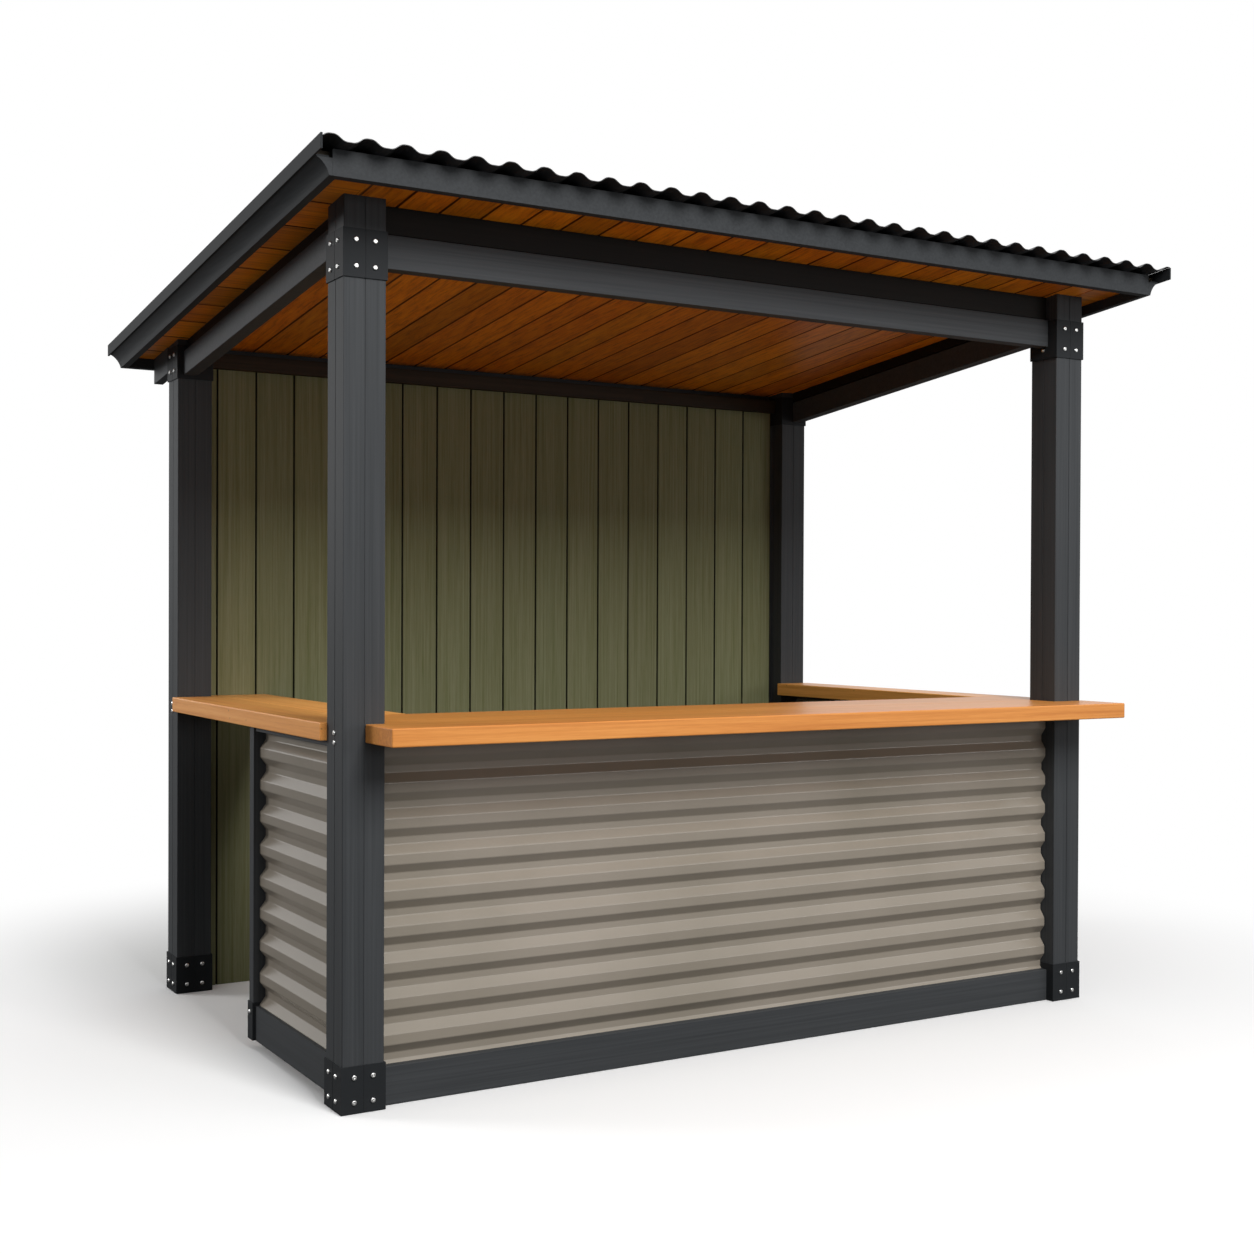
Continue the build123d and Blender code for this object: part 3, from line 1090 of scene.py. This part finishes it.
@dataclass
class Roof:
    """The corrugated roof sheet, its purlins and the side flashings."""

    slope: Slope
    wave: Wave = field(
        default_factory=lambda: Wave(105.4 * MM, 26 * MM, 32 * MM, 17 * MM, 26 * MM, 7)
    )
    first_crest: float = 24 * MM
    flashing_height: float = 42 * MM
    flashing_leg: float = 6 * MM
    flashing_foot: float = 5 * MM
    flashing_arris: float = 0.8 * MM
    purlin_arris: float = 1 * MM

    def build(self) -> None:
        """Builds the sheet and the flashings and dresses the purlins."""
        # Baked black coat: a soft sheen along each crest seen from above
        sheet = CoatedSteel("black_coil_coated_steel", "#17181A", "#202123", 0.4, 0.45)
        finish_piece(self.sheet(), sheet.build(), ["roof_sheet"])
        # Duller anthracite coat, which stays even in the shade of the sheet
        edge = CoatedSteel("anthracite_folded_steel", "#242628", "#2C2E30", 0.6, 0.08)
        material = edge.build()
        for side in SIDES:
            finish_piece(self.flashing(side), material, [f"{side}_flashing"])
        # Sawn pine darkened to near-black brown as painted shade, seen only as dark ends under the
        # sheet
        purlin_wood_darkened_as_painted_shade = WoodBoards(
            "pine_darkened_as_painted_shade",
            Grain.ALONG_X,
            Grain.ALONG_Y,
            ("#2C2418", "#362C1E", "#403524"),
            500 * MM,
            rough_low=0.7,
            rough_high=0.8,
        )
        dress_node("roof_purlins", purlin_wood_darkened_as_painted_shade.build(), self.purlin_arris)

    def sloping_bar(self, name: str, low: Sequence[float], high: Sequence[float]) -> Piece:
        """Adds a bar whose far end drops with the slope.

        Args:
            name: the bar's name.
            low: its lowest corner at the front end.
            high: its highest corner, with the height of the front end.

        Returns:
            The bar.
        """
        bar = add_block(name, low, high)
        start_editing(bar, "FACE")
        pick(bar, "faces", lambda face: face.normal.y > FACING)
        drop = self.slope.fall * (high[1] - low[1])
        bpy.ops.transform.translate(value=(0, 0, -drop))
        stop_editing()
        return bar

    def flashing(self, side: str) -> Piece:
        """A folded edge strip: an upright leg, and a foot over the side fascia.

        Args:
            side: left or right.

        Returns:
            The flashing.
        """
        low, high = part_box(f"{side}_flashing")
        front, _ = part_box("front_fascia")
        _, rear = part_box("rear_fascia")
        outer, inner, inward = high.x, low.x, -1
        if side == "left":
            outer, inner, inward = low.x, high.x, 1
        fold = outer + inward * self.flashing_leg
        bottom = high.z - self.flashing_height
        leg = self.sloping_bar(
            f"{side}_leg", (min(outer, fold), low.y, bottom), (max(outer, fold), high.y, high.z)
        )
        bottom -= self.slope.fall * (front.y - low.y)
        foot = self.sloping_bar(
            f"{side}_foot",
            (min(inner, fold), front.y, bottom),
            (max(inner, fold), rear.y, bottom + self.flashing_foot),
        )
        strip = join_pieces([leg, foot], f"{side}_flashing_strip")
        ease_edges(strip, self.flashing_arris)
        return strip

    def sheet(self) -> Piece:
        """Folds the sheet out of one strip that slopes with the roof, wave by wave."""
        low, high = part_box("roof_sheet")
        start = low.x + self.first_crest - self.wave.pitch
        width = self.wave.crest / 2
        run = high.y - low.y
        middle = (start + width / 2, low.y + run / 2, high.z)
        piece = add_strip("roof_sheet_waves", middle, width, run, (0, 0, 0))
        start_editing(piece, "EDGE")
        pick(piece, "edges", lambda edge: middle_of(edge).y > high.y - TINY)
        bpy.ops.transform.translate(value=(0, 0, -self.slope.fall * run))
        self.wave.fold(piece, Vector((1, 0, 0)), Vector((0, 0, 1)), start, (low.x, high.x))
        return piece


@dataclass
class LowerPanels:
    """Corrugated sheets between the base rails and the counters, their waves level."""

    wave: Wave = field(default_factory=lambda: Wave(104 * MM, 30 * MM, 22 * MM, 20 * MM, 8 * MM, 5))
    front_first_crest: float = 33 * MM
    side_first_crest: float = 13 * MM

    def build(self) -> None:
        """Builds the three panels, each turned from one that faces the front."""
        # Baked taupe coat: satin enough to draw a lighter band along each crest
        coat = CoatedSteel(
            "taupe_coil_coated_steel", "#8A8275", "#968D81", 0.22, cloud=500 * MM, relief=0.02 * MM
        )
        material = coat.build()
        for side in ("front", "left", "right"):
            low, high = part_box(f"{side}_panel")
            length, turn, place = high.y - low.y, QUARTER, (high.x, low.y, low.z)
            if side == "left":
                turn, place = -QUARTER, (low.x, high.y, low.z)
            crest = self.side_first_crest
            if side == "front":
                length, turn, place = high.x - low.x, 0.0, (low.x, low.y, low.z)
                crest = self.front_first_crest
            piece = self.panel(f"{side}_panel_waves", length, high.z - low.z, crest)
            piece.rotation_euler = (0, 0, turn)
            piece.location = place
            settle(piece)
            finish_piece(piece, material, [f"{side}_panel"])

    def panel(self, name: str, length: float, height: float, first_crest: float) -> Piece:
        """Folds one panel that faces -Y, from X 0 to its length and Z 0 to its height.

        Args:
            name: the panel's name.
            length: its length along X.
            height: its height.
            first_crest: how far the middle of the lowest crest lies below its foot.

        Returns:
            The panel, its crests at Y 0.
        """
        width = self.wave.crest / 2
        middle = (length / 2, 0.0, width / 2 - first_crest)
        piece = add_strip(name, middle, length, width, (QUARTER, 0, 0))
        start_editing(piece, "EDGE")
        self.wave.fold(piece, Vector((0, 0, 1)), Vector((0, -1, 0)), -first_crest, (0.0, height))
        return piece


@dataclass
class Counters:
    """Oiled hardwood counters, each of one or two wide planks cut round the posts."""

    arris: float = 4 * MM
    arris_facets: int = 3
    seam: float = 0.4 * MM
    clearance: float = 0.5 * MM
    overcut: float = 100 * MM
    cut_bottom: float = 900 * MM
    cut_top: float = 1200 * MM
    front_strip: float = 98 * MM
    front_strip_start: float = -1106.5 * MM
    side_strip: float = 95 * MM
    side_strip_start: float = -1457 * MM

    def build(self) -> None:
        """Builds the three counters."""
        # Oiled iroko: orange-brown, even, with long soft figure and a satin top
        crosswise = WoodBoards(
            "oiled_iroko_crosswise",
            Grain.ALONG_X,
            Grain.ALONG_Y,
            ("#C47C38", "#D68D44", "#E49E52"),
            self.front_strip,
            self.front_strip_start,
            streak=14 * MM,
            streak_length=900 * MM,
            tone_spread=0.035,
            hue_spread=0.004,
            rough_low=0.3,
            rough_high=0.42,
            coat=Coat(0.35),
        )
        # The side counters take lighter tones than the front one, as painted light
        lengthwise = replace(
            crosswise,
            name="oiled_iroko_lengthwise_lightened_as_painted_light",
            grain=Grain.ALONG_Y,
            across=Grain.ALONG_X,
            tones=("#E0964A", "#F2A858", "#FCB868"),
            board_width=self.side_strip,
            board_start=self.side_strip_start,
            knot_spacing=60 * MM,
        )
        across = crosswise.build()
        along = lengthwise.build()
        for node, name, material, axis, count in (
            ("front_counter", "front_counter_planks", across, 1, 2),
            ("left_counter", "left_counter_planks", along, 0, 2),
            ("right_counter", "right_counter_plank", along, 0, 1),
        ):
            planks = self.planks(node, axis, count)
            for plank in planks:
                for near_x, near_y, far_x, far_y in self.notches().get(node, ()):
                    low = (near_x, near_y, self.cut_bottom)
                    cut_away(plank, low, (far_x, far_y, self.cut_top))
                ease_edges(plank, self.arris, self.arris_facets)
            finish_piece(join_pieces(planks, name), material, [node])

    def planks(self, node: str, axis: int, count: int) -> list[Piece]:
        """Lays planks side by side over the whole of a counter.

        Args:
            node: the counter's node.
            axis: 0 where they lie side by side along X, 1 along Y.
            count: how many.

        Returns:
            The planks.
        """
        low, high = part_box(node)
        width = (high[axis] - low[axis]) / count
        found = []
        for index in range(count):
            start = low.copy()
            end = high.copy()
            if index:
                start[axis] = low[axis] + index * width + self.seam / 2
            if index < count - 1:
                end[axis] = low[axis] + (index + 1) * width - self.seam / 2
            found.append(add_block(f"{node}_{index}", start, end))
        return found

    def notches(self) -> dict[str, Sequence[tuple[float, float, float, float]]]:
        """Finds what is cut out of the counters for the posts and for one another.

        Returns:
            The nearest X and Y and the farthest X and Y of each notch, by counter.
        """
        gap, over = self.clearance, self.overcut
        front_low, front_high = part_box("front_counter")
        side_low, side_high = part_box("left_counter")
        left_low, left_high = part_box("front_left_post")
        right_low, right_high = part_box("front_right_post")
        rear_low, rear_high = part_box("rear_left_post")
        return {
            "front_counter": (
                (front_low.x - over, left_low.y - gap, left_high.x + gap, front_high.y + over),
                (right_low.x - gap, right_low.y - gap, right_high.x + gap, right_high.y + gap),
            ),
            "left_counter": (
                (side_low.x - over, rear_low.y - gap, rear_high.x + gap, side_high.y + over),
                (left_high.x - gap, side_low.y - over, side_high.x + over, front_high.y + gap),
            ),
        }


@dataclass
class PanScrew:
    """A pan-head screw: a low dome with a small round recess.

    The insets are its shoulder, its flat top and the recess, each as a share of the radius
    inward and a share of the height outward. The rounded rim is found by such shares too.
    """

    radius: float = 7.2 * MM
    height: float = 3.6 * MM
    facets: int = 20
    insets: Sequence[tuple[float, float]] = ((0.28, 0.3), (0.40, 0.0), (0.05, -0.5))
    rim: float = 0.9
    brow: float = 0.8
    rounding: float = 0.3

    def build(self) -> Piece:
        """Models the head, which faces -Y with its seat at the origin."""
        deselect_all()
        bpy.ops.mesh.primitive_cylinder_add(
            vertices=self.facets,
            radius=self.radius,
            depth=self.height,
            location=(0, -self.height / 2, 0),
            rotation=(QUARTER, 0, 0),
        )
        piece = bpy.context.active_object
        piece.name = "screw_model"
        settle(piece)
        start_editing(piece, "FACE")
        pick(piece, "faces", lambda face: face.normal.y < -FACING)
        for inward, outward in self.insets:
            bpy.ops.mesh.inset(thickness=self.radius * inward, depth=self.height * outward)
        bpy.ops.mesh.select_mode(type="EDGE")
        pick(
            piece,
            "edges",
            lambda edge: middle_of(edge).y < -self.height * self.brow
            and math.hypot(middle_of(edge).x, middle_of(edge).z) > self.radius * self.rim
            and run_of(edge).y < TINY,
        )
        bpy.ops.mesh.bevel(offset=self.height * self.rounding, segments=2, affect="EDGES")
        stop_editing()
        smooth(piece)
        return piece


@dataclass
class Brackets:
    """Steel sleeves round the posts with bright pan-head screws."""

    wall: float = 4 * MM
    arris: float = 0.8 * MM
    seam_width: float = 1.8 * MM
    seam_depth: float = 0.9 * MM
    seam_overcut: float = 10 * MM
    narrow_face: float = 60 * MM
    pan: PanScrew = field(default_factory=PanScrew)
    screw_spread: float = 28.5 * MM
    screw_edge: float = 32 * MM
    counter_screw_heights: Sequence[float] = (1046 * MM, 1074 * MM)
    obstacles: Sequence[str] = (
        "front_beam",
        "left_beam",
        "right_beam",
        "tail_beams",
        "rear_beam",
        "wall_trim",
        "back_wall",
        "front_base_rail",
        "left_base_rail",
        "right_base_rail",
        "wall_rails",
    )

    def build(self) -> None:
        """Builds every sleeve and its screws."""
        # Baked powder coat: nearly black and matt beside the bright screws
        steel = CoatedSteel("anthracite_powder_coat", "#202224", "#2A2C2E", 0.55, 0.1)
        coat = steel.build()
        zinc = PlatedScrew().build()
        screw = self.pan.build()
        corners = [f"{end}_{side}" for end in ENDS for side in SIDES]
        names = [f"{corner}_{level}" for corner in corners for level in ("foot", "head")]
        for name in (*names, "entrance_foot"):
            self.sleeve(name, coat)
            low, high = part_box(f"{name}_bracket")
            screws = self.place_screws(name, low, high, screw)
            finish_piece(join_pieces(screws, f"{name}_screws"), zinc)
        self.counter_screws(screw, zinc)
        bpy.data.objects.remove(screw)

    def sleeve(self, name: str, coat: Material) -> None:
        """Builds one sleeve: a bent plate with a fine seam down the middle of each face.

        Args:
            name: where it sits.
            coat: its material.
        """
        low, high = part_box(f"{name}_bracket")
        wrap = add_block(f"{name}_sleeve", low, high)
        start_editing(wrap, "FACE")
        pick(wrap, "faces", lambda face: abs(face.normal.z) > FACING)
        bpy.ops.mesh.delete(type="FACE")
        stop_editing()
        apply_modifier(wrap, "SOLIDIFY", thickness=self.wall, offset=-1.0, use_even_offset=True)
        if name != "entrance_foot":
            for axis in (1, 0):
                for face in (low[axis], high[axis]):
                    self.cut_seam(wrap, low, high, axis, face)
        ease_edges(wrap, self.arris)
        finish_piece(wrap, coat, [f"{name}_bracket"])

    def cut_seam(self, wrap: Piece, low: Vector, high: Vector, axis: int, face: float) -> None:
        """Cuts the seam down one face of a sleeve.

        Args:
            wrap: the sleeve.
            low: its lowest corner.
            high: its highest corner.
            axis: 0 for a face across X, 1 for one across Y.
            face: where that face lies.
        """
        middle = (low + high) / 2
        reach = Vector((self.seam_width / 2, self.seam_width / 2, 0.0))
        reach[axis] = self.seam_depth
        middle[axis] = face
        start = middle - reach
        end = middle + reach
        start.z = low.z - self.seam_overcut
        end.z = high.z + self.seam_overcut
        cut_away(wrap, start, end)

    def blocked(self, spot: Vector) -> bool:
        """Tells whether a beam, rail or board covers a screw's place."""
        reach = self.pan.radius
        boxes = (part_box(node) for node in self.obstacles)
        return any(
            all(low[axis] - reach < spot[axis] < high[axis] + reach for axis in range(3))
            for low, high in boxes
        )

    def place_screws(self, name: str, low: Vector, high: Vector, screw: Piece) -> list[Piece]:
        """Sets up to four screws on each face of a sleeve that nothing covers.

        Args:
            name: where the sleeve sits.
            low: the sleeve's lowest corner.
            high: its highest corner.
            screw: the screw to copy.

        Returns:
            The screws.
        """
        middle = (low + high) / 2
        heights = (low.z + self.screw_edge, high.z - self.screw_edge)
        faces = (
            (Vector((middle.x, low.y, 0)), Vector((1, 0, 0)), 0.0),
            (Vector((high.x, middle.y, 0)), Vector((0, 1, 0)), QUARTER),
            (Vector((middle.x, high.y, 0)), Vector((1, 0, 0)), 2 * QUARTER),
            (Vector((low.x, middle.y, 0)), Vector((0, 1, 0)), -QUARTER),
        )
        screws = []
        for number, (centre, along, turn) in enumerate(faces):
            shifts = (-self.screw_spread, self.screw_spread)
            levels = heights
            if (high - low).dot(along) < self.narrow_face:
                shifts = (0.0,)
                levels = heights[1:]
            # Head sleeves have one column inside, and the rear ones none there or in front
            if name.endswith("head"):
                inner = 1 if "left" in name else 3
                if number == inner:
                    shifts = (0.0,)
                if name.startswith("rear") and number in (0, inner):
                    continue
            for shift in shifts:
                for height in levels:
                    spot = centre + along * shift
                    spot.z = height
                    if not self.blocked(spot):
                        title = f"{name}_screw_{number}_{len(screws)}"
                        screws.append(copy_piece(screw, title, spot, (0, 0, turn)))
        return screws

    def counter_screws(self, screw: Piece, zinc: Material) -> None:
        """Sets two screws, one over the other, where the left counter meets each post.

        Args:
            screw: the screw to copy.
            zinc: its material.
        """
        screws = []
        for end in ENDS:
            low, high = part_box(f"{end}_left_post")
            for level, height in enumerate(self.counter_screw_heights):
                spot = (low.x, (low.y + high.y) / 2, height)
                title = f"{end}_counter_screw_{level}"
                screws.append(copy_piece(screw, title, spot, (0, 0, -QUARTER)))
        finish_piece(join_pieces(screws, "counter_fixing_screws"), zinc)


@dataclass(frozen=True)
class Lamp:
    """One soft lamp that faces the bar: degrees round it and above the floor, metres, watts."""

    name: str
    turn: float
    rise: float
    distance: float
    size: tuple[float, float]
    power: float
    aim: Point = (0.0, 0.0, 1.1)

    def build(self) -> None:
        """Hangs the lamp."""
        data = bpy.data.lights.new(self.name, "AREA")
        data.shape = "RECTANGLE"
        data.size, data.size_y = self.size
        data.energy = self.power
        lamp = bpy.data.objects.new(self.name, data)
        bpy.context.scene.collection.objects.link(lamp)
        azimuth = math.radians(self.turn)
        elevation = math.radians(self.rise)
        toward = Vector(
            (
                math.sin(azimuth) * math.cos(elevation),
                -math.cos(azimuth) * math.cos(elevation),
                math.sin(elevation),
            )
        )
        lamp.location = Vector(self.aim) + self.distance * toward
        lamp.rotation_euler = (-toward).to_track_quat("-Z", "Y").to_euler()


@dataclass
class Studio:
    """A pale floor, soft lamps, a white backdrop and the camera at the picture's angle."""

    camera_place: Point = (-3.0889, -5.2649, 1.4175)
    turn: float = math.radians(30.607)
    tilt: float = math.radians(0.4886)
    roll: float = math.radians(0.2236)
    lens: float = 46.986
    sensor_width: float = 36.0
    clip_end: float = 500.0
    horizon_light: float = 0.13
    zenith_light: float = 0.6
    floor_size: float = 80.0
    floor_drop: float = 1 * MM
    floor_white: str = "#FFFFFF"
    floor_bounce: str = "#767676"
    fade_start: float = 1.7
    fade_end: float = 3.6
    lamps: Sequence[Lamp] = (
        Lamp("key", -4, 36, 9.0, (2.6, 4.0), 640.0),
        Lamp("front", 33, 7, 9.0, (7.0, 1.2), 95.0),
        Lamp("side", -125, 14, 14.0, (4.0, 3.0), 660.0),
    )

    def build(self) -> None:
        """Builds the studio."""
        self.camera()
        self.world()
        self.floor()
        for lamp in self.lamps:
            lamp.build()
        bpy.context.scene.view_settings.view_transform = "Standard"

    def camera(self) -> None:
        """Places the camera."""
        data = bpy.data.cameras.new("camera")
        data.sensor_fit = "HORIZONTAL"
        data.sensor_width = self.sensor_width
        data.lens = self.lens
        data.clip_end = self.clip_end
        rig = bpy.data.objects.new("camera", data)
        bpy.context.scene.collection.objects.link(rig)
        ahead = Vector(
            (
                math.sin(self.turn) * math.cos(self.tilt),
                math.cos(self.turn) * math.cos(self.tilt),
                -math.sin(self.tilt),
            )
        )
        level = Vector((math.cos(self.turn), -math.sin(self.turn), 0.0))
        up = level.cross(ahead)
        right = math.cos(self.roll) * level + math.sin(self.roll) * up
        top = -math.sin(self.roll) * level + math.cos(self.roll) * up
        turned = Matrix((right, top, -ahead)).transposed()
        rig.matrix_world = Matrix.Translation(self.camera_place) @ turned.to_4x4()
        bpy.context.scene.camera = rig

    def world(self) -> None:
        """Even light from all round, seen as white behind the bar."""
        world = bpy.data.worlds.new("studio")
        world.use_nodes = True
        tree = world.node_tree
        tree.nodes.clear()
        path = add_node(tree, "LightPath")
        seen = path.outputs["Is Camera Ray"]
        for kind in ("Is Glossy Ray", "Is Transmission Ray"):
            seen = add_node(tree, "Math", {0: seen, 1: path.outputs[kind]}, operation="MAXIMUM")
        ray = add_node(tree, "TexCoord").outputs["Generated"]
        height = add_node(tree, "SeparateXYZ", {0: ray}).outputs[2]
        span = {"Value": height, "To Min": self.horizon_light, "To Max": self.zenith_light}
        share = {0: seen, 2: add_node(tree, "MapRange", span), 3: 1.0}
        strength = add_node(tree, "Mix", share, data_type="FLOAT")
        light = add_node(tree, "Background", {"Color": (1, 1, 1, 1), "Strength": strength})
        add_node(tree, "OutputWorld", {0: light})
        bpy.context.scene.world = world

    def floor(self) -> None:
        """A wide pale floor that keeps the bar's shadow and fades to white far off."""
        deselect_all()
        place = (0, 0, -self.floor_drop)
        bpy.ops.mesh.primitive_plane_add(size=self.floor_size, location=place)
        piece = bpy.context.active_object
        piece.name = "studio_floor"
        settle(piece)
        material, tree, coord = new_tree("pale_studio_floor")
        reach = add_node(tree, "VectorMath", {0: coord}, operation="LENGTH").outputs["Value"]
        span = {"Value": reach, "From Min": self.fade_start, "From Max": self.fade_end}
        fade = add_node(tree, "MapRange", span, interpolation_type="SMOOTHSTEP")
        seen = add_node(tree, "LightPath").outputs["Is Camera Ray"]
        # The camera sees a white floor, while the bar is lit by a grey one
        tones = {0: seen, 6: to_linear(self.floor_bounce), 7: to_linear(self.floor_white)}
        shade = add_node(tree, "Mix", tones, data_type="RGBA").outputs[2]
        parts = {
            0: add_node(tree, "Math", {0: seen, 1: fade}, operation="MULTIPLY"),
            1: add_node(tree, "BsdfDiffuse", {"Color": shade}),
            2: add_node(tree, "Emission", {"Strength": 1.0}),
        }
        add_node(tree, "OutputMaterial", {0: add_node(tree, "MixShader", parts)})
        piece.data.materials.append(material)


def main() -> None:
    """Builds the studio and each sub-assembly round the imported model."""
    logging.basicConfig(level=logging.INFO, format="%(name)s: %(message)s")
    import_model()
    slope = Slope().read()
    Studio().build()
    TimberFrame().dress()
    BackWall().build()
    Ceiling(slope).build()
    Roof(slope).build()
    LowerPanels().build()
    Counters().build()
    Brackets().build()


if __name__ == "__main__":
    main()
